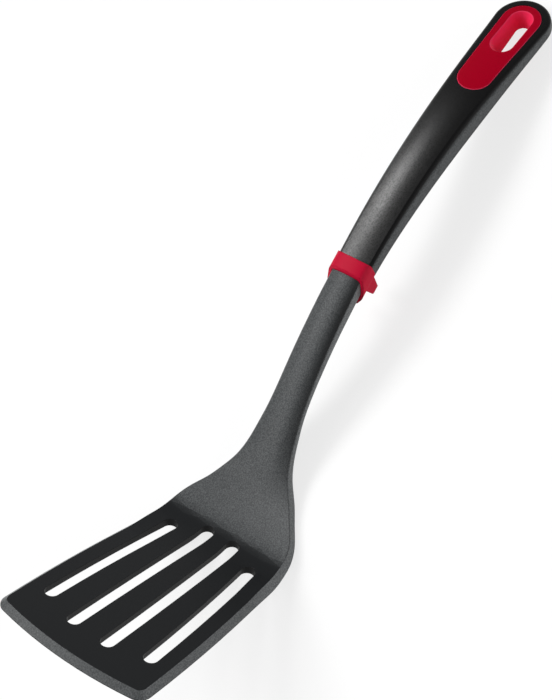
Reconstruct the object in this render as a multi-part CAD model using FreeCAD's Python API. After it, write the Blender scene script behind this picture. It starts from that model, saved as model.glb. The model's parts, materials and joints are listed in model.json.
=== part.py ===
import FreeCAD, Part
import math
import os

# Slotted grill spatula: a stiff blade and shank in one moulding, a grip moulded over its tang,
# a collar with a foot that hooks over a pan's rim, and an insert that lines the hanging slot.
# Sizes are millimetres and degrees. The tool is built with its blade flat: X runs from the blade's
# front edge to the grip, Y runs across and Z runs up. It is then laid down as it rests on a worktop.

# Line of the tool's top, seen from the side: it starts flat and is measured along itself
BLADE_LENGTH = 95.0
HEEL_RADIUS = 37.0
NECK_ANGLE = 69.0
NECK_STRAIGHT = 26.0
SWEEP_RADIUS = 280.0
GRIP_ANGLE = 29.1
GRIP_STRAIGHT = 46.2

# Blade, whose rear corners start to rise a little before the middle bends up
BLADE_THICKNESS = 3.25
BLADE_FRONT_WIDTH = 85.4
BLADE_REAR_WIDTH = 77.3
BLADE_SIDE_BOW = 1.1
CORNER_RISE_LENGTH = 15.0
FRONT_ARC_RADIUS = 210.0
FRONT_CORNER_RADIUS = 6.5
BEVEL_RUN = 2.8
BEVEL_LAND = 0.4

# Four slots that fan out towards the front edge, given by the centres of their round ends
SLOT_WIDTH = 7.0
INNER_SLOT_FRONT = 19.0
INNER_SLOT_OVERRUN = 8.8
INNER_SLOT_FRONT_OFFSET = 9.75
INNER_SLOT_REAR_OFFSET = 7.5
OUTER_SLOT_FRONT = 24.9
OUTER_SLOT_OVERRUN = 1.3
OUTER_SLOT_FRONT_OFFSET = 29.0
OUTER_SLOT_REAR_OFFSET = 23.2
INNER_SLOT_BOW = 0.32
OUTER_SLOT_BOW = 0.7

# Shoulders, neck, waist and shank, placed by their distance behind the blade's straight part
SHOULDER_SETBACK = 18.0
SHOULDER_WIDTH = 64.4
NECK_SETBACK = 38.0
NECK_WIDTH = 42.5
NECK_THICKNESS = 4.2
WAIST_SETBACK = 56.0
WAIST_WIDTH = 25.5
WAIST_THICKNESS = 4.6
SHANK_SETBACK = 87.0
SHANK_WIDTH = 17.9
SHANK_THICKNESS = 5.9
SHANK_END_WIDTH = 15.8
SHANK_END_THICKNESS = 8.4

# Hollow of the shoulders and neck, which turns into a slight crown along the shank
HEEL_HOLLOW = 1.1
SHOULDER_HOLLOW = 1.2
NECK_HOLLOW = 1.5
WAIST_HOLLOW = 1.1
SHANK_CROWN = 0.3

# Sides and underside of the neck and shank
NECK_FLANK_RUN = 1.05
NECK_EDGE_RADIUS = 0.6
NECK_UNDERCUT = 1.6
NECK_UNDERSIDE_RADIUS = 1.1
WAIST_UNDERCUT = 2.6
SHANK_FLANK_RUN = 0.7
SHANK_EDGE_RADIUS = 1.5
SHANK_UNDERCUT = 3.1
SHANK_END_UNDERCUT = 2.6
SHANK_UNDERSIDE_RADIUS = 2.1

# Collar with its foot
COLLAR_SETBACK = 146.9
COLLAR_LENGTH = 8.4
COLLAR_FRONT_ANGLE = 45.0
COLLAR_REAR_ANGLE = 17.0
COLLAR_WALL = 1.5
COLLAR_FIT = 0.1
FOOT_DROP = 7.2
FOOT_ROOT_LENGTH = 9.6
FOOT_TIP_LENGTH = 7.2
FOOT_WIDTH = 16.6
FOOT_LEAD = 0.6
FOOT_RADIUS = 1.2

# Grip, at its mouth, its middle and its end
GRIP_MOUTH_WIDTH = 19.7
GRIP_MIDDLE_WIDTH = 24.5
GRIP_END_WIDTH = 29.0
GRIP_MOUTH_THICKNESS = 9.5
GRIP_MIDDLE_THICKNESS = 15.0
GRIP_END_THICKNESS = 9.7
GRIP_MOUTH_CROWN = 0.8
GRIP_MIDDLE_CROWN = 1.5
GRIP_END_CROWN = 0.6
GRIP_MOUTH_EDGE_RADIUS = 2.2
GRIP_MIDDLE_EDGE_RADIUS = 3.6
GRIP_END_EDGE_RADIUS = 2.0
GRIP_FLANK_RUN = 0.6
GRIP_MOUTH_UNDERCUT = 2.6
GRIP_MIDDLE_UNDERCUT = 4.5
GRIP_END_UNDERCUT = 3.6
GRIP_MOUTH_UNDERSIDE_RADIUS = 2.4
GRIP_MIDDLE_UNDERSIDE_RADIUS = 4.2
GRIP_END_UNDERSIDE_RADIUS = 3.4

# Tang inside the grip, with ribs that lock it
TANG_LENGTH = 84.0
TANG_WIDTH = 11.0
TANG_TIP_WIDTH = 8.0
TANG_THICKNESS = 4.4
TANG_TIP_THICKNESS = 4.0
TANG_DEPTH = 3.0
TANG_RIB_COUNT = 4
TANG_RIB_LENGTH = 4.0
TANG_RIB_HEIGHT = 1.0
TANG_FIT = 0.05

# Insert with the hanging slot, which narrows on its way down through the grip
INSERT_END_BORDER = 4.6
INSERT_LENGTH = 56.4
INSERT_FRONT_WIDTH = 17.6
INSERT_REAR_WIDTH = 20.0
INSERT_DEPTH = 2.4
INSERT_GAP = 0.25
INSERT_EDGE_RADIUS = 0.35
HANG_SLOT_LENGTH = 27.0
HANG_SLOT_WIDTH = 11.6
HANG_SLOT_END_BORDER = 4.0
HANG_SLOT_TAPER = 0.2
SLOT_LIP_RADIUS = 0.6
SLEEVE_WALL = 1.5

# Sections that shape each loft, crowded towards the blade where the neck changes fastest
NECK_SECTIONS = 16
NECK_CROWDING = 1.5
SHANK_SECTIONS = 5
COLLAR_SECTIONS = 4
GRIP_SECTIONS = 9
TANG_SECTIONS = 8

# Working values that follow from the sizes above
SHARP_RADIUS = 0.05
REACH = 60.0
OUTLINE_STEP = 0.25
OVERRUN = 6.0
PLATE_LENGTH = BLADE_LENGTH - CORNER_RISE_LENGTH
HEEL_LENGTH = HEEL_RADIUS * math.radians(NECK_ANGLE)
SWEEP_LENGTH = SWEEP_RADIUS * math.radians(NECK_ANGLE - GRIP_ANGLE)
TOOL_LENGTH = BLADE_LENGTH + HEEL_LENGTH + NECK_STRAIGHT + SWEEP_LENGTH + GRIP_STRAIGHT
SHOULDER_STATION = BLADE_LENGTH + SHOULDER_SETBACK
NECK_STATION = BLADE_LENGTH + NECK_SETBACK
WAIST_STATION = BLADE_LENGTH + WAIST_SETBACK
SHANK_STATION = BLADE_LENGTH + SHANK_SETBACK
COLLAR_FRONT_STATION = BLADE_LENGTH + COLLAR_SETBACK
COLLAR_REAR_STATION = COLLAR_FRONT_STATION + COLLAR_LENGTH
GRIP_CAP_STATION = TOOL_LENGTH - GRIP_END_WIDTH / 2
GRIP_MIDDLE_STATION = (COLLAR_REAR_STATION + TOOL_LENGTH) / 2


def path_point(station):
    """Point and slope of the tool's top line at a distance along it from the front edge."""
    pieces = [
        (BLADE_LENGTH, 0.0),
        (HEEL_LENGTH, math.radians(NECK_ANGLE)),
        (NECK_STRAIGHT, 0.0),
        (SWEEP_LENGTH, math.radians(GRIP_ANGLE - NECK_ANGLE)),
        (GRIP_STRAIGHT + REACH, 0.0),
    ]
    x, z, slope = 0.0, 0.0, 0.0
    left = station
    for length, turn in pieces:
        step = min(left, length)
        bend = turn * step / length
        chord = step if bend == 0 else step * math.sin(bend / 2) / (bend / 2)
        x += chord * math.cos(slope + bend / 2)
        z += chord * math.sin(slope + bend / 2)
        slope += bend
        left -= step
        if left <= 0:
            break
    return x, z, slope


def on_path(station, across, up):
    """Point beside the top line: across the tool, and up along the line's normal."""
    x, z, slope = path_point(station)
    return FreeCAD.Vector(x - up * math.sin(slope), across, z + up * math.cos(slope))


def law(*pairs, first_slope=None):
    """Law of a size along the top line, smooth and without overshoot between its named stations."""
    places = [place for place, value in pairs]
    values = [value for place, value in pairs]
    steps = [after - before for before, after in zip(places, places[1:])]
    rises = [(after - before) / step for before, after, step in zip(values, values[1:], steps)]
    slopes = [rises[0] if first_slope is None else first_slope]
    for before, after in zip(rises, rises[1:]):
        slopes.append(2 * before * after / (before + after) if before * after > 0 else 0.0)
    slopes.append(rises[-1])

    def value_at(station):
        station = min(max(station, places[0]), places[-1])
        index = max(i for i in range(len(steps)) if places[i] <= station)
        step = steps[index]
        share = (station - places[index]) / step
        rest = 1 - share
        return (values[index] * rest ** 2 * (1 + 2 * share)
                + values[index + 1] * share ** 2 * (1 + 2 * rest)
                + slopes[index] * step * share * rest ** 2
                - slopes[index + 1] * step * rest * share ** 2)

    return value_at


def rounded_outline(corners, radii):
    """Lines joined by tangent arcs. A radius of None bends the whole side softly through its corner."""
    count = len(corners)
    starts, ends = [], []
    for index in range(count):
        corner = corners[index]
        before = (corners[index - 1] - corner).normalize()
        after = (corners[(index + 1) % count] - corner).normalize()
        if radii[index] is None:
            starts.append(None)
            ends.append(None)
            continue
        reach = radii[index] / math.tan(before.getAngle(after) / 2)
        starts.append(corner + before * reach)
        ends.append(corner + after * reach)
    edges = []
    for index in range(count):
        following = (index + 1) % count
        if radii[index] is None:
            bend = Part.BezierCurve()
            bend.setPoles([ends[index - 1], corners[index], starts[following]])
            edges.append(bend.toShape())
            continue
        middle = (starts[index] + ends[index]) / 2
        inward = (middle - corners[index]).normalize()
        half_angle = (starts[index] - corners[index]).getAngle(middle - corners[index])
        depth = radii[index] / math.sin(half_angle) - radii[index]
        arc = Part.Arc(starts[index], corners[index] + inward * depth, ends[index])
        edges.append(arc.toShape())
        if radii[following] is not None:
            edges.append(Part.makeLine(ends[index], starts[following]))
    return Part.Wire(edges)


def section(station, half_top, flank_run, thickness, undercut, land, crown, radii, lift=0.0):
    """Cross-section of the tool: a crowned or hollow top, slanted flanks and a flat underside."""
    flank_drop = thickness - land
    half_flank = half_top + flank_run
    half_bottom = half_flank - undercut
    edge, flank, bottom = radii
    half_corners = [
        (half_top, lift - crown),
        (half_flank, lift - flank_drop),
        (half_bottom, lift - thickness),
    ]
    right = [on_path(station, -across, up) for across, up in half_corners]
    left = [on_path(station, across, up) for across, up in reversed(half_corners)]
    top = on_path(station, 0, lift + crown)
    bottom_middle = on_path(station, 0, lift - thickness)
    corners = [top] + right + [bottom_middle] + left
    return rounded_outline(corners, [None, edge, flank, bottom, None, bottom, flank, edge])


def slab(outline, plane, thickness):
    """Prism of a closed wire drawn in a plane's own X and Y, raised along that plane's normal."""
    face = Part.Face(outline)
    prism = face.extrude(FreeCAD.Vector(0, 0, thickness))
    prism.Placement = plane.multiply(prism.Placement)
    return prism


def capsule(first, first_radius, last, last_radius):
    """Outline of two half rounds of different size joined by their tangent lines, along X."""
    tilt = math.asin((first_radius - last_radius) / (last - first))
    across = FreeCAD.Vector(math.sin(tilt), math.cos(tilt), 0)
    mirror = FreeCAD.Vector(across.x, -across.y, 0)
    near = FreeCAD.Vector(first, 0, 0)
    far = FreeCAD.Vector(last, 0, 0)
    return Part.Wire([
        Part.makeLine(near + across * first_radius, far + across * last_radius),
        Part.Arc(far + across * last_radius, far + FreeCAD.Vector(last_radius, 0, 0),
                 far + mirror * last_radius).toShape(),
        Part.makeLine(far + mirror * last_radius, near + mirror * first_radius),
        Part.Arc(near + mirror * first_radius, near - FreeCAD.Vector(first_radius, 0, 0),
                 near + across * first_radius).toShape(),
    ])


def mirrored(point):
    """The same point on the other side of the tool's middle."""
    return FreeCAD.Vector(point.x, -point.y, point.z)


def side_circle():
    """Centre and radius of the bowed side of the blade's outline."""
    front = FreeCAD.Vector(0, BLADE_FRONT_WIDTH / 2, 0)
    rear = FreeCAD.Vector(PLATE_LENGTH, BLADE_REAR_WIDTH / 2, 0)
    along = (rear - front).normalize()
    inward = FreeCAD.Vector(along.y, -along.x, 0)
    half_chord = front.distanceToPoint(rear) / 2
    radius = (half_chord ** 2 + BLADE_SIDE_BOW ** 2) / (2 * BLADE_SIDE_BOW)
    return (front + rear) / 2 + inward * (radius - BLADE_SIDE_BOW), radius


def side_at_rear(inset):
    """Point of the blade's side where its flat plate ends, drawn in by an inset."""
    centre, radius = side_circle()
    rise = math.sqrt((radius - inset) ** 2 - (PLATE_LENGTH - centre.x) ** 2)
    return FreeCAD.Vector(PLATE_LENGTH, centre.y + rise, 0)


def blade_outline(inset, height):
    """Plate's outline, drawn in by an inset: a bowed front, round corners and bowed tapering sides."""
    front_centre = FreeCAD.Vector(FRONT_ARC_RADIUS, 0, 0)
    side_centre, side_radius = side_circle()
    between = side_centre - front_centre
    apart = between.Length
    to_front = FRONT_ARC_RADIUS - FRONT_CORNER_RADIUS
    to_side = side_radius - FRONT_CORNER_RADIUS
    share = (apart ** 2 + to_front ** 2 - to_side ** 2) / (2 * apart)
    between.normalize()
    across = FreeCAD.Vector(between.y, -between.x, 0)
    corner_centre = front_centre + between * share + across * math.sqrt(to_front ** 2 - share ** 2)
    from_front = (corner_centre - front_centre).normalize()
    from_side = (corner_centre - side_centre).normalize()
    at_rear = side_at_rear(inset)
    from_middle = (from_side + (at_rear - side_centre).normalize()).normalize()
    points = [
        at_rear,
        side_centre + from_middle * (side_radius - inset),
        side_centre + from_side * (side_radius - inset),
        corner_centre + (from_front + from_side).normalize() * (FRONT_CORNER_RADIUS - inset),
        front_centre + from_front * (FRONT_ARC_RADIUS - inset),
    ]
    level = FreeCAD.Vector(0, 0, height)
    nose = FreeCAD.Vector(inset, 0, height)
    left = [point + level for point in points]
    right = [mirrored(point) + level for point in points]
    return Part.Wire([
        Part.Arc(left[0], left[1], left[2]).toShape(),
        Part.Arc(left[2], left[3], left[4]).toShape(),
        Part.Arc(left[4], nose, right[4]).toShape(),
        Part.Arc(right[4], right[3], right[2]).toShape(),
        Part.Arc(right[2], right[1], right[0]).toShape(),
        Part.makeLine(right[0], left[0]),
    ])


def slot_cutter(front, rear, front_offset, rear_offset, bow):
    """Cutter of one slot, with round ends and sides that bow a little outwards."""
    half = SLOT_WIDTH / 2
    head = FreeCAD.Vector(front, front_offset, 0)
    tail = FreeCAD.Vector(rear, rear_offset, 0)
    along = (tail - head).normalize()
    left = FreeCAD.Vector(-along.y, along.x, 0)
    middle = (head + tail) / 2 + left * bow
    outline = Part.Wire([
        Part.Arc(head + left * half, middle + left * half, tail + left * half).toShape(),
        Part.Arc(tail + left * half, tail + along * half, tail - left * half).toShape(),
        Part.Arc(tail - left * half, middle - left * half, head - left * half).toShape(),
        Part.Arc(head - left * half, head - along * half, head + left * half).toShape(),
    ])
    cutter = Part.Face(outline).extrude(FreeCAD.Vector(0, 0, REACH))
    cutter.translate(FreeCAD.Vector(0, 0, -REACH / 2))
    return cutter


def slot_cutters():
    """The four slots, mirrored about the middle of the blade."""
    inner = slot_cutter(INNER_SLOT_FRONT, BLADE_LENGTH + INNER_SLOT_OVERRUN,
                        INNER_SLOT_FRONT_OFFSET, INNER_SLOT_REAR_OFFSET, INNER_SLOT_BOW)
    outer = slot_cutter(OUTER_SLOT_FRONT, BLADE_LENGTH + OUTER_SLOT_OVERRUN,
                        OUTER_SLOT_FRONT_OFFSET, OUTER_SLOT_REAR_OFFSET, OUTER_SLOT_BOW)
    centre, across = FreeCAD.Vector(0, 0, 0), FreeCAD.Vector(0, 1, 0)
    return [inner, outer, inner.mirror(centre, across), outer.mirror(centre, across)]


def shank_section(station, growth=0.0):
    """Cross-section of the neck and shank, which starts as the blade's own bevelled section."""
    end = COLLAR_REAR_STATION
    top_at_rear = side_at_rear(BEVEL_RUN)
    side_centre, _ = side_circle()
    side_slope = (side_centre.x - PLATE_LENGTH) / (top_at_rear.y - side_centre.y)
    bevel_run = side_at_rear(0.0).y - top_at_rear.y
    half_top = law((PLATE_LENGTH, top_at_rear.y), (SHOULDER_STATION, SHOULDER_WIDTH / 2),
                   (NECK_STATION, NECK_WIDTH / 2), (WAIST_STATION, WAIST_WIDTH / 2),
                   (SHANK_STATION, SHANK_WIDTH / 2), (end, SHANK_END_WIDTH / 2),
                   first_slope=side_slope)
    flank_run = law((PLATE_LENGTH, bevel_run), (BLADE_LENGTH, bevel_run), (NECK_STATION, NECK_FLANK_RUN),
                    (SHANK_STATION, SHANK_FLANK_RUN), (end, SHANK_FLANK_RUN))
    thickness = law((PLATE_LENGTH, BLADE_THICKNESS), (BLADE_LENGTH, BLADE_THICKNESS),
                    (NECK_STATION, NECK_THICKNESS), (WAIST_STATION, WAIST_THICKNESS),
                    (SHANK_STATION, SHANK_THICKNESS), (end, SHANK_END_THICKNESS))
    undercut = law((PLATE_LENGTH, 0.0), (BLADE_LENGTH, 0.0), (NECK_STATION, NECK_UNDERCUT),
                   (WAIST_STATION, WAIST_UNDERCUT), (SHANK_STATION, SHANK_UNDERCUT),
                   (end, SHANK_END_UNDERCUT))
    land = law((PLATE_LENGTH, BEVEL_LAND), (BLADE_LENGTH, BEVEL_LAND), (NECK_STATION, NECK_UNDERCUT),
               (WAIST_STATION, WAIST_UNDERCUT), (SHANK_STATION, SHANK_UNDERCUT),
               (end, SHANK_END_UNDERCUT))
    crown = law((PLATE_LENGTH, 0.0), (BLADE_LENGTH, -HEEL_HOLLOW), (SHOULDER_STATION, -SHOULDER_HOLLOW),
                (NECK_STATION, -NECK_HOLLOW), (WAIST_STATION, -WAIST_HOLLOW),
                (SHANK_STATION, SHANK_CROWN), (end, SHANK_CROWN), first_slope=0.0)
    edge = law((PLATE_LENGTH, SHARP_RADIUS), (BLADE_LENGTH, SHARP_RADIUS),
               (NECK_STATION, NECK_EDGE_RADIUS), (SHANK_STATION, SHANK_EDGE_RADIUS),
               (end, SHANK_EDGE_RADIUS))
    under = law((PLATE_LENGTH, SHARP_RADIUS), (BLADE_LENGTH, SHARP_RADIUS),
                (NECK_STATION, NECK_UNDERSIDE_RADIUS), (SHANK_STATION, SHANK_UNDERSIDE_RADIUS),
                (end, SHANK_UNDERSIDE_RADIUS))
    radii = (edge(station) + growth, under(station) + growth, under(station) + growth)
    corner_growth = growth * (2 - math.sqrt(2))
    return section(station, half_top(station) + growth, flank_run(station),
                   thickness(station) + 2 * growth, undercut(station) + corner_growth,
                   land(station) + corner_growth, crown(station), radii, growth)


def behind(station, slant):
    """Block of everything behind a station, with its front face slanted forward under the tool."""
    x, z, slope = path_point(station)
    block = Part.makeBox(4 * REACH, 2 * REACH, 4 * REACH, FreeCAD.Vector(0, -REACH, -2 * REACH))
    turn = FreeCAD.Rotation(FreeCAD.Vector(0, 1, 0), slant - math.degrees(slope))
    block.Placement = FreeCAD.Placement(FreeCAD.Vector(x, 0, z), turn)
    return block


def stations(first, last, count, grade=1.0):
    """Stations from the first to the last, which lie closer near the first with a higher grade."""
    return [first + (last - first) * (index / (count - 1)) ** grade for index in range(count)]


def tang_section(station, half_width, up, thickness):
    """Plain rectangular section below the top line."""
    corners = [
        on_path(station, half_width, up),
        on_path(station, -half_width, up),
        on_path(station, -half_width, up - thickness),
        on_path(station, half_width, up - thickness),
    ]
    return Part.makePolygon(corners + corners[:1])


def tang(clearance):
    """Tapering tang with locking ribs, grown by a clearance where it cuts its own socket."""
    start = COLLAR_REAR_STATION
    end = start + TANG_LENGTH + clearance

    def bar(first, last, growth, count):
        wires = []
        for station in stations(first, last, count):
            share = (station - start) / TANG_LENGTH
            half_width = (TANG_WIDTH + (TANG_TIP_WIDTH - TANG_WIDTH) * share) / 2 + growth
            thickness = TANG_THICKNESS + (TANG_TIP_THICKNESS - TANG_THICKNESS) * share + 2 * growth
            wires.append(tang_section(station, half_width, growth - TANG_DEPTH, thickness))
        return Part.makeLoft(wires, True, False)

    pitch = TANG_LENGTH / (TANG_RIB_COUNT + 1)
    ribs = []
    for index in range(TANG_RIB_COUNT):
        middle = start + pitch * (index + 1)
        half = TANG_RIB_LENGTH / 2 + clearance
        ribs.append(bar(middle - half, middle + half, TANG_RIB_HEIGHT + clearance, 2))
    return bar(start - OVERRUN, end, clearance, TANG_SECTIONS).fuse(ribs)


def blade_and_shank():
    """Blade, neck, shank and tang, which come out of one mould."""
    land_height = -BLADE_THICKNESS + BEVEL_LAND
    plate = Part.makeLoft([blade_outline(0.0, land_height), blade_outline(BEVEL_RUN, 0.0)], True, True)
    land = Part.Face(blade_outline(0.0, -BLADE_THICKNESS)).extrude(FreeCAD.Vector(0, 0, BEVEL_LAND))
    neck_stations = stations(PLATE_LENGTH, SHANK_STATION, NECK_SECTIONS, NECK_CROWDING)
    shank_stations = stations(SHANK_STATION, COLLAR_REAR_STATION, SHANK_SECTIONS)[1:]
    shank = Part.makeLoft([shank_section(place) for place in neck_stations + shank_stations], True, False)
    body = plate.fuse([land, shank])
    body = body.cut(slot_cutters() + [behind(COLLAR_REAR_STATION, COLLAR_REAR_ANGLE)])
    return body.fuse(tang(0.0)).removeSplitter()


def grip_section(station):
    """Cross-section of the grip: a crowned top with soft edges and a rounded underside."""
    first, middle, last = COLLAR_REAR_STATION, GRIP_MIDDLE_STATION, GRIP_CAP_STATION

    def blend(at_mouth, at_middle, at_end):
        return law((first, at_mouth), (middle, at_middle), (last, at_end))(station)

    half_top = blend(GRIP_MOUTH_WIDTH, GRIP_MIDDLE_WIDTH, GRIP_END_WIDTH) / 2 - GRIP_FLANK_RUN
    thickness = blend(GRIP_MOUTH_THICKNESS, GRIP_MIDDLE_THICKNESS, GRIP_END_THICKNESS)
    crown = blend(GRIP_MOUTH_CROWN, GRIP_MIDDLE_CROWN, GRIP_END_CROWN)
    edge = blend(GRIP_MOUTH_EDGE_RADIUS, GRIP_MIDDLE_EDGE_RADIUS, GRIP_END_EDGE_RADIUS)
    under = blend(GRIP_MOUTH_UNDERSIDE_RADIUS, GRIP_MIDDLE_UNDERSIDE_RADIUS, GRIP_END_UNDERSIDE_RADIUS)
    undercut = blend(GRIP_MOUTH_UNDERCUT, GRIP_MIDDLE_UNDERCUT, GRIP_END_UNDERCUT)
    return section(station, half_top, GRIP_FLANK_RUN, thickness, undercut, undercut, crown,
                   (edge, under, under))


def grip_form():
    """Outside of the grip: lofted along the tool and closed by a half turn of its last section."""
    places = stations(COLLAR_REAR_STATION - OVERRUN, GRIP_CAP_STATION, GRIP_SECTIONS)
    bar = Part.makeLoft([grip_section(place) for place in places], True, False)
    x, z, slope = path_point(GRIP_CAP_STATION)
    axis = FreeCAD.Vector(-math.sin(slope), 0, math.cos(slope))
    side = Part.makeBox(2 * REACH, REACH, 2 * REACH, FreeCAD.Vector(x - REACH, 0, z - REACH))
    half_face = Part.Face(grip_section(GRIP_CAP_STATION)).common(side)
    cap = half_face.revolve(FreeCAD.Vector(x, 0, z), axis, -180)
    return bar.fuse(cap).common(behind(COLLAR_REAR_STATION, COLLAR_REAR_ANGLE))


def end_plane(up):
    """Plane at the grip's end: X points back along the top line and Z along its normal."""
    x, z, slope = path_point(TOOL_LENGTH)
    turn = FreeCAD.Rotation(FreeCAD.Vector(0, 1, 0), -math.degrees(slope))
    base = FreeCAD.Vector(x - up * math.sin(slope), 0, z + up * math.cos(slope))
    return FreeCAD.Placement(base, turn)


def insert_outline(inset):
    """Plan of the insert's plate, which widens towards the grip's end."""
    rear = INSERT_REAR_WIDTH / 2
    front = INSERT_FRONT_WIDTH / 2
    last = -INSERT_END_BORDER - rear
    first = -INSERT_END_BORDER - INSERT_LENGTH + front
    return capsule(first, front - inset, last, rear - inset)


def hang_slot_form(growth):
    """Hanging slot as a solid, grown all round, which narrows downwards at a steady taper."""
    radius = HANG_SLOT_WIDTH / 2
    last = -INSERT_END_BORDER - HANG_SLOT_END_BORDER - radius
    first = last - HANG_SLOT_LENGTH + HANG_SLOT_WIDTH
    wires = []
    for height in (OVERRUN, -GRIP_MIDDLE_THICKNESS - OVERRUN):
        size = radius + growth + height * HANG_SLOT_TAPER
        wire = capsule(first, size, last, size)
        wire.Placement = end_plane(height)
        wires.append(wire)
    return Part.makeLoft(wires, True, True)


def top_edges(body):
    """Edges of the insert that lie in the grip's top surface."""
    to_plane = end_plane(0.0).inverse()
    lowest = -INSERT_DEPTH / 3
    return [edge for edge in body.Edges if to_plane.multVec(edge.CenterOfMass).z > lowest]


def hanging_insert(form):
    """Plate let into the grip's top, with a sleeve that lines the hanging slot right through."""
    plate = slab(insert_outline(INSERT_GAP), end_plane(INSERT_GAP - INSERT_DEPTH), REACH)
    slot = hang_slot_form(0.0)
    body = form.common(plate.fuse(hang_slot_form(SLEEVE_WALL))).cut(slot)
    lip = [edge for edge in top_edges(body) if edge.distToShape(slot)[0] < INSERT_GAP]
    body = body.makeFillet(SLOT_LIP_RADIUS, lip)
    rim = [edge for edge in top_edges(body) if edge.distToShape(slot)[0] > SLEEVE_WALL]
    return body.makeFillet(INSERT_EDGE_RADIUS, rim)


def grip(form):
    """Grip with the tang's socket, the insert's pocket and the opening for its sleeve."""
    pocket = slab(insert_outline(0.0), end_plane(-INSERT_DEPTH), REACH)
    passage = hang_slot_form(SLEEVE_WALL + INSERT_GAP)
    return form.cut([pocket, passage, tang(TANG_FIT)])


def collar_foot():
    """Foot under the collar that hooks over a pan's rim, drawn in side view and made full width."""
    seat = SHANK_END_THICKNESS / 2
    tip = SHANK_END_THICKNESS + COLLAR_WALL + FOOT_DROP
    front = COLLAR_REAR_STATION - seat * math.tan(math.radians(COLLAR_REAR_ANGLE)) - FOOT_ROOT_LENGTH
    side = [
        on_path(front, 0, -seat),
        on_path(front + FOOT_LEAD, 0, -tip),
        on_path(front + FOOT_LEAD + FOOT_TIP_LENGTH, 0, -tip),
        on_path(front + FOOT_ROOT_LENGTH, 0, -seat),
    ]
    outline = rounded_outline(side, [FOOT_RADIUS] * len(side))
    foot = Part.Face(outline).extrude(FreeCAD.Vector(0, FOOT_WIDTH, 0))
    foot.translate(FreeCAD.Vector(0, -FOOT_WIDTH / 2, 0))
    return foot


def rest_collar():
    """Ring round the shank's end, cut on slants, with its foot underneath."""
    first = COLLAR_FRONT_STATION - SHANK_END_THICKNESS - 2 * COLLAR_WALL
    places = stations(first, COLLAR_REAR_STATION, COLLAR_SECTIONS)
    outside = Part.makeLoft([shank_section(place, COLLAR_FIT + COLLAR_WALL) for place in places], True, False)
    inside = Part.makeLoft([shank_section(place, COLLAR_FIT) for place in places], True, False)
    ring = outside.common(behind(COLLAR_FRONT_STATION, COLLAR_FRONT_ANGLE)).fuse(collar_foot())
    return ring.cut([inside, behind(COLLAR_REAR_STATION, COLLAR_REAR_ANGLE)])


def lower_hull(points):
    """Lower side of the convex outline round points given as pairs of X and Z."""
    chain = []
    for point in sorted(points):
        while len(chain) > 1:
            (first_x, first_z), (last_x, last_z) = chain[-2], chain[-1]
            turn = (last_x - first_x) * (point[1] - first_z) - (last_z - first_z) * (point[0] - first_x)
            if turn > 0:
                break
            chain.pop()
        chain.append(point)
    return chain


def resting_placement(shapes):
    """Placement that lays the tool on the edge of its outline that carries its centre of mass."""
    profile = []
    for shape in shapes:
        for wire in shape.slice(FreeCAD.Vector(0, 1, 0), 0):
            profile += [(point.x, point.z) for point in wire.discretize(Distance=OUTLINE_STEP)]
    volume = sum(shape.Volume for shape in shapes)
    centre_x = sum(shape.Volume * shape.CenterOfGravity.x for shape in shapes) / volume
    centre_z = sum(shape.Volume * shape.CenterOfGravity.z for shape in shapes) / volume
    hull = lower_hull(profile)
    for (first_x, first_z), (last_x, last_z) in zip(hull, hull[1:]):
        run, rise = last_x - first_x, last_z - first_z
        share = ((centre_x - first_x) * run + (centre_z - first_z) * rise) / (run ** 2 + rise ** 2)
        if 0 < share < 1:
            break
    tilt = math.atan2(rise, run)
    turn = FreeCAD.Rotation(FreeCAD.Vector(0, 1, 0), math.degrees(tilt))
    laid = [turn.multVec(FreeCAD.Vector(x, 0, z)) for x, z in profile]
    middle = (min(point.x for point in laid) + max(point.x for point in laid)) / 2
    bottom = min(point.z for point in laid)
    return FreeCAD.Placement(FreeCAD.Vector(-middle, 0, -bottom), turn)


def main():
    """Build every piece, lay the tool down and write one file for each piece."""
    os.makedirs("parts", exist_ok=True)
    form = grip_form()
    pieces = {
        "blade_and_shank": blade_and_shank(),
        "rest_collar": rest_collar(),
        "grip": grip(form),
        "hanging_insert": hanging_insert(form),
    }
    resting = resting_placement(list(pieces.values()))
    for name, shape in pieces.items():
        shape.Placement = resting.multiply(shape.Placement)
        print(name, shape.isValid(), len(shape.Solids), round(shape.Volume))
        shape.exportStep("parts/" + name + ".step")


main()
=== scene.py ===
"""Looks of a slotted grill spatula: mould finishes, studio light and the product camera."""

import json
import logging
import math
from dataclasses import dataclass, field
from enum import Enum

import bpy
from mathutils import Euler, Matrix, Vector

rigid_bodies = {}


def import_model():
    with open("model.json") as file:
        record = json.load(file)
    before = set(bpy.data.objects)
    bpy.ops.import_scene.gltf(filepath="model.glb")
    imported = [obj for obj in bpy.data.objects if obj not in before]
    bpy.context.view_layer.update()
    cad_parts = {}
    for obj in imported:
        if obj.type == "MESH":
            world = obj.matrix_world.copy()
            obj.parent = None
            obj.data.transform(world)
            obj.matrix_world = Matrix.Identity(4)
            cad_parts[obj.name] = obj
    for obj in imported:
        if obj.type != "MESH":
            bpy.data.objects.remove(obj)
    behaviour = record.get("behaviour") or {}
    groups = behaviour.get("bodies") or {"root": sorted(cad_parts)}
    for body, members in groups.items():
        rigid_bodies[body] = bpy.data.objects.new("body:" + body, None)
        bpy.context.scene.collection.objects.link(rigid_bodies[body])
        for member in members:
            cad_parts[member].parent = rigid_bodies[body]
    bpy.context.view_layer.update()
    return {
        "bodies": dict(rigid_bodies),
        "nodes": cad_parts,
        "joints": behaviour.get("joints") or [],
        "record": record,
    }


log = logging.getLogger("grill_spatula")

IMAGE_WIDTH_PX = 552
MM = 0.001


class Axis(Enum):
    """The part's own directions, by the name of the output that holds them."""

    ALONG = "X"
    ACROSS = "Y"
    UP = "Z"


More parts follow.
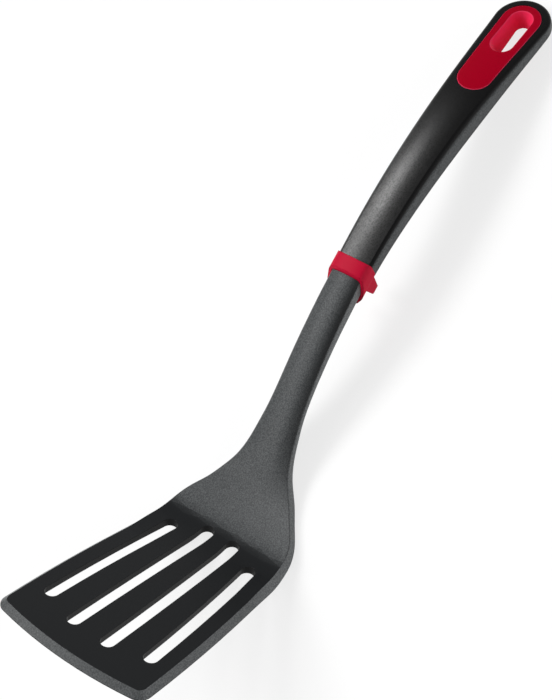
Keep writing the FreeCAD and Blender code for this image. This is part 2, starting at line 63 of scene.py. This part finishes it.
def linear(hex_colour: str) -> tuple[float, float, float, float]:
    """Turns an sRGB colour as written into the linear one that shaders take.

    Args:
        hex_colour: the colour as "#RRGGBB".

    Returns:
        Linear red, green and blue with an alpha of one.
    """
    channels = [int(hex_colour[place:place + 2], 16) / 255 for place in (1, 3, 5)]
    lit = [c / 12.92 if c <= 0.04045 else ((c + 0.055) / 1.055) ** 2.4 for c in channels]
    return (lit[0], lit[1], lit[2], 1.0)


def add_node(tree: bpy.types.NodeTree, kind: str, settings: dict, inputs: dict) -> bpy.types.Node:
    """Adds one shader node.

    Args:
        tree: the material's or world's node tree.
        kind: the node's type, such as "ShaderNodeBump".
        settings: properties of the node by name.
        inputs: values or output sockets by the input's name or number.

    Returns:
        The new node.
    """
    node = tree.nodes.new(kind)
    for name, value in settings.items():
        setattr(node, name, value)
    for name, value in inputs.items():
        if isinstance(value, bpy.types.NodeSocket):
            tree.links.new(value, node.inputs[name])
        else:
            node.inputs[name].default_value = value
    return node


@dataclass(frozen=True)
class Fade:
    """The stretch of a measure over which one look gives way to the next."""

    start: float
    full: float

    def share(self, tree: bpy.types.NodeTree, measure: bpy.types.NodeSocket) -> bpy.types.NodeSocket:
        """Turns the measure into a share.

        Args:
            tree: the material's node tree.
            measure: what is measured, such as a place or how a face lies.

        Returns:
            Zero at the start, one at the full value, and a smooth step between them.
        """
        step = add_node(tree, "ShaderNodeMapRange", {"interpolation_type": "SMOOTHSTEP"}, {
            "Value": measure, "From Min": self.start, "From Max": self.full,
        })
        return step.outputs["Result"]

    def back(self) -> "Fade":
        """Gives the same stretch the other way round."""
        return Fade(self.full, self.start)


@dataclass(frozen=True)
class MouldedSurface:
    """Base of the finishes: plastic with its mould's grain and with softly rounded edges.

    IOR is the plastic's own. The specular level was matched to the picture and is lower than a
    plastic's, because the white room is mirrored here from every side.
    """

    name: str
    roughness: float
    specular: float
    ior: float
    grain_mm: float
    grain_height_mm: float
    edge_mm: float
    speckle: Fade = Fade(0.34, 0.68)
    crown_half_width_mm: float = 9.2
    crown_drop_mm: float = 3.2
    crown_power: float = 2.4

    def start(self) -> tuple[bpy.types.Material, bpy.types.Node, bpy.types.NodeSocket]:
        """Makes the empty material.

        Returns:
            The material, its principled shader and the position in the part's own frame.
        """
        material = bpy.data.materials.new(self.name)
        material.use_nodes = True
        tree = material.node_tree
        tree.nodes.clear()
        shader = add_node(tree, "ShaderNodeBsdfPrincipled", {}, {
            "Roughness": self.roughness,
            "Specular IOR Level": self.specular,
            "IOR": self.ior,
        })
        add_node(tree, "ShaderNodeOutputMaterial", {}, {"Surface": shader.outputs["BSDF"]})
        place = add_node(tree, "ShaderNodeTexCoord", {}, {})
        return material, shader, place.outputs["Object"]

    def grain(self, tree: bpy.types.NodeTree, place: bpy.types.NodeSocket, size_mm: float,
              detail: float = 2.0) -> bpy.types.NodeSocket:
        """Scatters grains of a real size over the surface.

        Args:
            tree: the material's node tree.
            place: the position in metres.
            size_mm: distance from one grain to the next.
            detail: how many finer layers are added.

        Returns:
            Heights from 0 to 1.
        """
        texture = add_node(tree, "ShaderNodeTexNoise", {}, {
            "Vector": place, "Scale": 1.0 / (size_mm * MM), "Detail": detail, "Roughness": 0.6,
        })
        return texture.outputs["Fac"]

    def measure(self, tree: bpy.types.NodeTree, vector: bpy.types.NodeSocket, axis: Axis,
                both_sides_alike: bool = False) -> bpy.types.NodeSocket:
        """Reads how far a place or a facing goes one way.

        Args:
            tree: the material's node tree.
            vector: a position or a normal.
            axis: the direction to read.
            both_sides_alike: whether the sign is dropped.

        Returns:
            The reading.
        """
        reading = add_node(tree, "ShaderNodeSeparateXYZ", {}, {"Vector": vector}).outputs[axis.value]
        if both_sides_alike:
            size = add_node(tree, "ShaderNodeMath", {"operation": "ABSOLUTE"}, {0: reading})
            reading = size.outputs["Value"]
        return reading

    def where_all(self, tree: bpy.types.NodeTree, first: bpy.types.NodeSocket,
                  *others: bpy.types.NodeSocket) -> bpy.types.NodeSocket:
        """Finds where several shares hold at once.

        Args:
            tree: the material's node tree.
            first: one share.
            others: the other shares.

        Returns:
            Their product.
        """
        product = first
        for share in others:
            product = add_node(tree, "ShaderNodeMath", {"operation": "MULTIPLY"},
                               {0: product, 1: share}).outputs["Value"]
        return product

    def layered(self, tree: bpy.types.NodeTree, under: str | bpy.types.NodeSocket,
                *layers: tuple[bpy.types.NodeSocket, str | bpy.types.NodeSocket]) -> bpy.types.NodeSocket:
        """Lays colours over each other.

        Args:
            tree: the material's node tree.
            under: the colour at the bottom, as hex or as a socket.
            layers: pairs of a share and the colour that shows by that share, the top one last.

        Returns:
            The colour that shows.
        """
        shown = linear(under) if isinstance(under, str) else under
        for share, colour in layers:
            over = linear(colour) if isinstance(colour, str) else colour
            shown = add_node(tree, "ShaderNodeMix", {"data_type": "RGBA"},
                             {0: share, 6: shown, 7: over}).outputs[2]
        return shown

    def rounded(self, tree: bpy.types.NodeTree) -> bpy.types.NodeSocket:
        """Gives the surface's normal with its crisp edges rounded."""
        bevel = add_node(tree, "ShaderNodeBevel", {"samples": 6}, {"Radius": self.edge_mm * MM})
        return bevel.outputs["Normal"]

    def crown(self, tree: bpy.types.NodeTree, place: bpy.types.NodeSocket,
              share: float | bpy.types.NodeSocket) -> bpy.types.NodeSocket:
        """Lets the top roll off softly towards its sides, as a moulded bar's does.

        Args:
            tree: the material's node tree.
            place: the position in metres.
            share: how much of the roll-off shows.

        Returns:
            The normal of the softly crowned surface.
        """
        distance = self.measure(tree, place, Axis.ACROSS, both_sides_alike=True)
        from_middle = add_node(tree, "ShaderNodeMath", {"operation": "DIVIDE"},
                               {0: distance, 1: self.crown_half_width_mm * MM}).outputs["Value"]
        fall = add_node(tree, "ShaderNodeMath", {"operation": "POWER"},
                        {0: from_middle, 1: self.crown_power}).outputs["Value"]
        rolled = add_node(tree, "ShaderNodeBump", {"invert": True}, {
            "Height": fall, "Strength": share, "Distance": self.crown_drop_mm * MM,
            "Normal": self.rounded(tree),
        })
        return rolled.outputs["Normal"]

    def relief(self, tree: bpy.types.NodeTree, height: bpy.types.NodeSocket,
               strength: float | bpy.types.NodeSocket, over: bpy.types.NodeSocket) -> bpy.types.NodeSocket:
        """Adds the grain's relief.

        Args:
            tree: the material's node tree.
            height: relief from 0 to 1.
            strength: how much of the relief shows.
            over: the normal that it lies on.

        Returns:
            The bent normal.
        """
        bent = add_node(tree, "ShaderNodeBump", {}, {
            "Height": height, "Strength": strength, "Distance": self.grain_height_mm * MM, "Normal": over,
        })
        return bent.outputs["Normal"]


@dataclass(frozen=True)
class SparkErodedNylon(MouldedSurface):
    """Glass-filled nylon 6.6, injection moulded in a spark-eroded tool.

    The eroded pits scatter light, so the neck, the shank and the bevels look grey and speckled. The
    blade's top is smoother and drawn near black, partly for that finish and partly as painted shade.
    The walls of the slots are drawn near black as painted shade. Real pits are finer than a pixel, so
    the grain is drawn coarser than it is. The upright flanks are drawn lighter as painted light, a line
    of painted shade runs along the crisp edges behind the slots, and one side of the shank's crown has
    a band of painted shade.
    """

    # Blade top: near black, partly for its smoother finish and partly as painted shade.
    smooth_top_and_painted_shade_colour: str = "#0D0F11"
    pit_colour: str = "#3A3C3D"
    peak_colour: str = "#565859"
    # Painted light: the upright flanks are drawn a lighter grey.
    painted_light_flank_pit_colour: str = "#545657"
    painted_light_flank_peak_colour: str = "#747677"
    # Painted shade: a dark line along the crisp edges behind the slots.
    painted_shade_edge_line_colour: str = "#0E0F10"
    painted_shade_edge_line_mm: float = 0.7
    painted_shade_edge_line: Fade = Fade(0.992, 0.965)
    # Painted shade: a dark band on one side of the shank's crown.
    painted_shade_band_colour: str = "#111213"
    painted_shade_band_across_m: Fade = Fade(-0.0010, -0.0085)
    painted_shade_band_along_m: Fade = Fade(-0.0950, 0.0100)
    painted_shade_band_facing: Fade = Fade(0.9, 0.6)
    # Painted shade: the walls of the slots are drawn near black.
    painted_shade_wall_colour: str = "#0C0C0D"
    blade_normal: tuple[float, float, float] = (0.7345, 0.0, 0.6786)
    blade_top: Fade = Fade(0.88, 0.95)
    slot_wall: Fade = Fade(0.35, 0.15)
    painted_light_flank: Fade = Fade(0.45, 0.85)
    heel_m: Fade = Fade(-0.1085, -0.0930)
    crown_along_m: Fade = Fade(-0.0850, -0.0500)
    grained_relief: float = 0.55
    smooth_relief: float = 0.06

    def crisp_edge(self, tree: bpy.types.NodeTree) -> bpy.types.NodeSocket:
        """Finds the piece's crisp edges.

        Args:
            tree: the material's node tree.

        Returns:
            One on an edge and zero away from it.
        """
        facing = add_node(tree, "ShaderNodeNewGeometry", {}, {}).outputs["Normal"]
        rounded = add_node(tree, "ShaderNodeBevel", {"samples": 8}, {"Radius": self.painted_shade_edge_line_mm * MM})
        agreement = add_node(tree, "ShaderNodeVectorMath", {"operation": "DOT_PRODUCT"},
                             {0: facing, 1: rounded.outputs["Normal"]}).outputs["Value"]
        return self.painted_shade_edge_line.share(tree, agreement)

    def material(self) -> bpy.types.Material:
        """Builds the nylon's material.

        Returns:
            The finished material.
        """
        material, shader, place = self.start()
        tree = material.node_tree
        facing = add_node(tree, "ShaderNodeNewGeometry", {}, {}).outputs["True Normal"]
        to_blade = add_node(tree, "ShaderNodeVectorMath", {"operation": "DOT_PRODUCT"},
                            {0: facing, 1: self.blade_normal}).outputs["Value"]
        to_either_face = add_node(tree, "ShaderNodeMath", {"operation": "ABSOLUTE"},
                                  {0: to_blade}).outputs["Value"]
        outward = self.measure(tree, facing, Axis.ACROSS, both_sides_alike=True)
        along = self.measure(tree, place, Axis.ALONG)
        across = self.measure(tree, place, Axis.ACROSS)
        behind_slots = self.heel_m.share(tree, along)
        beside_slots = self.heel_m.back().share(tree, along)
        # smooth marks the blade's top: it smooths the grain there and carries that top's painted shade.
        smooth = self.where_all(tree, self.blade_top.share(tree, to_blade), beside_slots)
        # Painted shade on the slot walls.
        painted_shade_wall = self.where_all(tree, self.slot_wall.share(tree, to_either_face), beside_slots)
        # band is the painted shade on one side of the shank's crown.
        band = self.where_all(tree, self.painted_shade_band_across_m.share(tree, across),
                              self.painted_shade_band_facing.share(tree, outward), self.painted_shade_band_along_m.share(tree, along))
        # Painted shade along the crisp edges.
        painted_shade_edge_line = self.where_all(tree, self.crisp_edge(tree), behind_slots)
        fine = self.grain(tree, place, self.grain_mm)
        on_peaks = self.speckle.share(tree, fine)
        # Painted light on the upright flanks.
        painted_light_flank_grey = self.layered(tree, self.painted_light_flank_pit_colour, (on_peaks, self.painted_light_flank_peak_colour))
        colour = self.layered(
            tree, self.pit_colour,
            (on_peaks, self.peak_colour),
            (self.painted_light_flank.share(tree, outward), painted_light_flank_grey),
            (band, self.painted_shade_band_colour),
            (painted_shade_edge_line, self.painted_shade_edge_line_colour),
            (smooth, self.smooth_top_and_painted_shade_colour),
            (painted_shade_wall, self.painted_shade_wall_colour),
        )
        tree.links.new(colour, shader.inputs["Base Color"])
        strength = add_node(tree, "ShaderNodeMapRange", {}, {
            "Value": smooth, "To Min": self.grained_relief, "To Max": self.smooth_relief,
        }).outputs["Result"]
        crowned = self.crown(tree, place, self.crown_along_m.share(tree, along))
        tree.links.new(self.relief(tree, fine, strength, crowned), shader.inputs["Normal"])
        return material


@dataclass(frozen=True)
class GrainedPolypropylene(MouldedSurface):
    """Polypropylene, injection moulded with a satin grain that breaks the highlight up.

    A painted sheen, drawn as a thin coat that the grain speckles, lies on the top of the mouth's half
    of the grip and fades out where the top turns towards one side; the end stays matt and near black.
    The sides are drawn a lighter, speckled grey as painted light. The grain is drawn coarser than it
    is, because the real one is finer than a pixel.
    """

    dark_colour: str = "#020202"
    light_colour: str = "#0B0B0C"
    # Painted light: the grip's sides are drawn a lighter, speckled grey.
    painted_light_side_pit_colour: str = "#3E4041"
    painted_light_side_peak_colour: str = "#5E6061"
    painted_light_side_facing: Fade = Fade(0.72, 0.98)
    painted_light_side_upward: Fade = Fade(-0.25, 0.1)
    # Painted sheen: the coat lies on the mouth's half of the grip and fades out on one side.
    painted_sheen_facing: Fade = Fade(-0.34, 0.02)
    painted_sheen_along_m: Fade = Fade(0.135, 0.075)
    painted_sheen_in_pits: float = 0.45
    painted_sheen_on_peaks: float = 1.0
    rougher_in_pits: float = 0.06
    smoother_on_peaks: float = 0.05
    relief_strength: float = 0.8

    def material(self) -> bpy.types.Material:
        """Builds the grip's material.

        Returns:
            The finished material.
        """
        material, shader, place = self.start()
        tree = material.node_tree
        fine = self.grain(tree, place, self.grain_mm)
        on_peaks = self.speckle.share(tree, fine)
        facing = add_node(tree, "ShaderNodeNewGeometry", {}, {}).outputs["Normal"]
        across = self.measure(tree, facing, Axis.ACROSS)
        outward = self.measure(tree, facing, Axis.ACROSS, both_sides_alike=True)
        upward = self.measure(tree, facing, Axis.UP)
        along = self.measure(tree, place, Axis.ALONG)
        # side marks the grip's sides, which carry painted light.
        side = self.where_all(tree, self.painted_light_side_facing.share(tree, outward),
                              self.painted_light_side_upward.share(tree, upward))
        painted_light_side_grey = self.layered(tree, self.painted_light_side_pit_colour, (on_peaks, self.painted_light_side_peak_colour))
        colour = self.layered(tree, self.dark_colour, (on_peaks, self.light_colour), (side, painted_light_side_grey))
        tree.links.new(colour, shader.inputs["Base Color"])
        gloss = add_node(tree, "ShaderNodeMapRange", {}, {
            "Value": on_peaks,
            "To Min": self.roughness + self.rougher_in_pits,
            "To Max": self.roughness - self.smoother_on_peaks,
        }).outputs["Result"]
        tree.links.new(gloss, shader.inputs["Roughness"])
        broken = add_node(tree, "ShaderNodeMapRange", {}, {
            "Value": on_peaks, "To Min": self.painted_sheen_in_pits, "To Max": self.painted_sheen_on_peaks,
        }).outputs["Result"]
        # Painted sheen: the coat's weight, speckled by the grain.
        painted_sheen = self.where_all(tree, self.painted_sheen_facing.share(tree, across),
                              self.painted_sheen_along_m.share(tree, along), broken)
        tree.links.new(painted_sheen, shader.inputs["Coat Weight"])
        shader.inputs["Coat Roughness"].default_value = self.roughness
        grained = self.relief(tree, fine, self.relief_strength, self.rounded(tree))
        tree.links.new(grained, shader.inputs["Normal"])
        tree.links.new(grained, shader.inputs["Coat Normal"])
        return material


@dataclass(frozen=True)
class SatinRedPolypropylene(MouldedSurface):
    """Mass-coloured polypropylene from a polished tool: an even deep red with a slight flow mottle.

    The sleeve round the hanging slot is drawn lighter and pinker as painted light, and its lip has a
    pale edge of painted highlight.
    """

    colour: str = "#94001A"
    flow_colour: str = "#9C001D"
    flow_mm: float = 14.0
    # Painted light: the sleeve round the hanging slot is drawn lighter and pinker.
    painted_light_sleeve_colour: str = "#E4305A"
    # Painted highlight: a pale edge on the lip of the hanging slot.
    painted_highlight_lip_colour: str = "#D83A5C"
    grip_end_normal: tuple[float, float, float] = (0.3117, 0.0, 0.9502)
    lip: Fade = Fade(0.96, 0.85)
    sleeve: Fade = Fade(0.6, 0.3)
    relief_strength: float = 0.15

    def material(self) -> bpy.types.Material:
        """Builds the insert's material.

        Returns:
            The finished material.
        """
        material, shader, place = self.start()
        tree = material.node_tree
        facing = add_node(tree, "ShaderNodeNewGeometry", {}, {}).outputs["Normal"]
        upward = add_node(tree, "ShaderNodeVectorMath", {"operation": "DOT_PRODUCT"},
                          {0: facing, 1: self.grip_end_normal}).outputs["Value"]
        colour = self.layered(
            tree, self.colour,
            (self.grain(tree, place, self.flow_mm, detail=1.0), self.flow_colour),
            # Painted highlight on the lip.
            (self.lip.share(tree, upward), self.painted_highlight_lip_colour),
            # Painted light on the sleeve's walls.
            (self.sleeve.share(tree, upward), self.painted_light_sleeve_colour),
        )
        tree.links.new(colour, shader.inputs["Base Color"])
        fine = self.grain(tree, place, self.grain_mm)
        satin = self.relief(tree, fine, self.relief_strength, self.rounded(tree))
        tree.links.new(satin, shader.inputs["Normal"])
        return material


@dataclass(frozen=True)
class MattElastomer(MouldedSurface):
    """Thermoplastic elastomer, moulded: a dry, matt red with soft edges and a faint grain."""

    pit_colour: str = "#AF032A"
    peak_colour: str = "#B80630"
    relief_strength: float = 0.3

    def material(self) -> bpy.types.Material:
        """Builds the collar's material.

        Returns:
            The finished material.
        """
        material, shader, place = self.start()
        tree = material.node_tree
        fine = self.grain(tree, place, self.grain_mm)
        colour = self.layered(tree, self.pit_colour, (fine, self.peak_colour))
        tree.links.new(colour, shader.inputs["Base Color"])
        soft = self.relief(tree, fine, self.relief_strength, self.crown(tree, place, 1.0))
        tree.links.new(soft, shader.inputs["Normal"])
        return material


def seen_directly(tree: bpy.types.NodeTree) -> bpy.types.NodeSocket:
    """Tells rays that show a background from rays that light the object.

    Args:
        tree: the material's or world's node tree.

    Returns:
        One for camera, glossy and transmission rays, and otherwise zero.
    """
    path = add_node(tree, "ShaderNodeLightPath", {}, {})
    mirrored = add_node(tree, "ShaderNodeMath", {"operation": "MAXIMUM"}, {
        0: path.outputs["Is Camera Ray"], 1: path.outputs["Is Glossy Ray"],
    })
    through = add_node(tree, "ShaderNodeMath", {"operation": "MAXIMUM"}, {
        0: mirrored.outputs[0], 1: path.outputs["Is Transmission Ray"],
    })
    return through.outputs[0]


@dataclass(frozen=True)
class WhiteStudioPaper:
    """Matt white studio paper, lightened to the eye so that the tool's shadow stays soft."""

    name: str = "white_studio_paper"
    colour: str = "#FDFDFD"
    lightening: float = 0.75

    def material(self) -> bpy.types.Material:
        """Builds the floor's material.

        Returns:
            The finished material.
        """
        material = bpy.data.materials.new(self.name)
        material.use_nodes = True
        tree = material.node_tree
        tree.nodes.clear()
        paper = add_node(tree, "ShaderNodeBsdfDiffuse", {}, {"Color": linear(self.colour)})
        white = add_node(tree, "ShaderNodeEmission", {}, {"Color": linear("#FFFFFF"), "Strength": 1.0})
        share = add_node(tree, "ShaderNodeMath", {"operation": "MULTIPLY"}, {
            0: seen_directly(tree), 1: self.lightening,
        })
        mixed = add_node(tree, "ShaderNodeMixShader", {}, {
            0: share.outputs[0], 1: paper.outputs[0], 2: white.outputs[0],
        })
        add_node(tree, "ShaderNodeOutputMaterial", {}, {"Surface": mixed.outputs[0]})
        return material


@dataclass
class DressedNode:
    """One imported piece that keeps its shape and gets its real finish."""

    node: str
    finish: SparkErodedNylon | GrainedPolypropylene | SatinRedPolypropylene | MattElastomer

    def dress(self, frame: dict) -> None:
        """Gives the piece its material.
        """
        piece = frame["nodes"][self.node]
        material = self.finish.material()
        for place in piece.material_slots:
            place.material = material
        if not piece.material_slots:
            piece.data.materials.append(material)
        log.info("%s: %s, %d faces", self.node, material.name, len(piece.data.polygons))


@dataclass
class Spatula:
    """The whole tool, piece by piece."""

    blade_and_shank: DressedNode = field(default_factory=lambda: DressedNode(
        "blade_and_shank",
        SparkErodedNylon(name="spark_eroded_glass_filled_nylon", roughness=0.42, specular=0.12, ior=1.53,
                         grain_mm=0.6, grain_height_mm=0.05, edge_mm=0.35)))
    rest_collar: DressedNode = field(default_factory=lambda: DressedNode(
        "rest_collar",
        MattElastomer(name="moulded_thermoplastic_elastomer", roughness=0.55, specular=0.11, ior=1.5,
                      grain_mm=0.6, grain_height_mm=0.03, edge_mm=0.9,
                      crown_half_width_mm=12.0, crown_drop_mm=3.0)))
    grip: DressedNode = field(default_factory=lambda: DressedNode(
        "grip",
        GrainedPolypropylene(name="fine_grained_moulded_polypropylene", roughness=0.29, specular=0.08,
                             ior=1.49, grain_mm=0.6, grain_height_mm=0.06, edge_mm=0.3)))
    hanging_insert: DressedNode = field(default_factory=lambda: DressedNode(
        "hanging_insert",
        SatinRedPolypropylene(name="satin_moulded_red_polypropylene", roughness=0.32, specular=0.03, ior=1.49,
                              grain_mm=0.6, grain_height_mm=0.02, edge_mm=0.25)))

    def dress(self, frame: dict) -> None:
        """Dresses every piece.
        """
        for piece in (self.blade_and_shank, self.rest_collar, self.grip, self.hanging_insert):
            piece.dress(frame)


@dataclass
class ProductCamera:
    """Camera at the product picture's place, aim and focal length."""

    location_m: tuple[float, float, float] = (-0.076169, -0.371926, 0.751165)
    rotation_deg: tuple[float, float, float] = (18.204, 22.1573, -56.9512)
    focal_px: float = 1800.0
    sensor_mm: float = 36.0
    nearest_m: float = 0.01

    def build(self) -> bpy.types.Object:
        """Makes the camera and sets it as the scene's own.

        Returns:
            The camera's object.
        """
        data = bpy.data.cameras.new("product_camera")
        data.sensor_fit = "HORIZONTAL"
        data.sensor_width = self.sensor_mm
        data.lens = self.focal_px * self.sensor_mm / IMAGE_WIDTH_PX
        data.clip_start = self.nearest_m
        camera = bpy.data.objects.new("product_camera", data)
        camera.location = self.location_m
        camera.rotation_euler = Euler([math.radians(angle) for angle in self.rotation_deg])
        bpy.context.scene.collection.objects.link(camera)
        bpy.context.scene.camera = camera
        log.info("product_camera: lens %.1f mm", data.lens)
        return camera


@dataclass
class Softbox:
    """A large far softbox, told by the direction that its light comes from and its spread."""

    name: str
    towards: tuple[float, float, float]
    strength: float
    spread_deg: float

    def build(self) -> bpy.types.Object:
        """Makes the lamp.

        Returns:
            The lamp's object.
        """
        data = bpy.data.lights.new(self.name, "SUN")
        data.energy = self.strength
        data.angle = math.radians(self.spread_deg)
        lamp = bpy.data.objects.new(self.name, data)
        lamp.rotation_euler = Vector(self.towards).to_track_quat("Z", "Y").to_euler()
        bpy.context.scene.collection.objects.link(lamp)
        return lamp


@dataclass
class Studio:
    """Pale floor, softboxes and the even light of a white room."""

    floor_size_m: float = 12.0
    room_fill: float = 0.24
    finish: WhiteStudioPaper = field(default_factory=WhiteStudioPaper)
    softboxes: list[Softbox] = field(default_factory=lambda: [
        Softbox("rear_softbox", towards=(-0.52, 0.50, 0.69), strength=1.1, spread_deg=36.0),
        Softbox("top_softbox_left", towards=(-0.14, 0.62, 0.77), strength=1.15, spread_deg=18.0),
        Softbox("top_softbox_right", towards=(0.26, 0.57, 0.78), strength=1.0, spread_deg=18.0),
        Softbox("side_softbox", towards=(0.30, -0.94, 0.15), strength=1.3, spread_deg=60.0),
    ])

    def build_floor(self) -> bpy.types.Object:
        """Makes the floor that the tool lies on.

        Returns:
            The floor's object, marked as stage.
        """
        half = self.floor_size_m / 2
        mesh = bpy.data.meshes.new("studio_floor")
        corners = [(-half, -half, 0.0), (half, -half, 0.0), (half, half, 0.0), (-half, half, 0.0)]
        mesh.from_pydata(corners, [], [(0, 1, 2, 3)])
        mesh.materials.append(self.finish.material())
        floor = bpy.data.objects.new("studio_floor", mesh)
        bpy.context.scene.collection.objects.link(floor)
        return floor

    def build_room(self) -> None:
        """Makes the world: white to the eye and in reflections, and a softer fill on matt surfaces."""
        world = bpy.data.worlds.new("white_room")
        world.use_nodes = True
        tree = world.node_tree
        tree.nodes.clear()
        fill = add_node(tree, "ShaderNodeBackground", {},
                        {"Color": linear("#FFFFFF"), "Strength": self.room_fill})
        white = add_node(tree, "ShaderNodeBackground", {}, {"Color": linear("#FFFFFF"), "Strength": 1.0})
        mixed = add_node(tree, "ShaderNodeMixShader", {}, {
            0: seen_directly(tree), 1: fill.outputs[0], 2: white.outputs[0],
        })
        add_node(tree, "ShaderNodeOutputWorld", {}, {"Surface": mixed.outputs[0]})
        bpy.context.scene.world = world

    def build(self) -> None:
        """Makes the floor, the room and the softboxes."""
        self.build_floor()
        self.build_room()
        for softbox in self.softboxes:
            softbox.build()
        log.info("studio: floor, room and %d softboxes", len(self.softboxes))


def main() -> None:
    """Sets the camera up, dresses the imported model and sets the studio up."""
    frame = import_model()
    bpy.context.scene.view_settings.view_transform = "Standard"
    ProductCamera().build()
    Spatula().dress(frame)
    Studio().build()


if __name__ == "__main__":
    logging.basicConfig(level=logging.INFO)
    main()
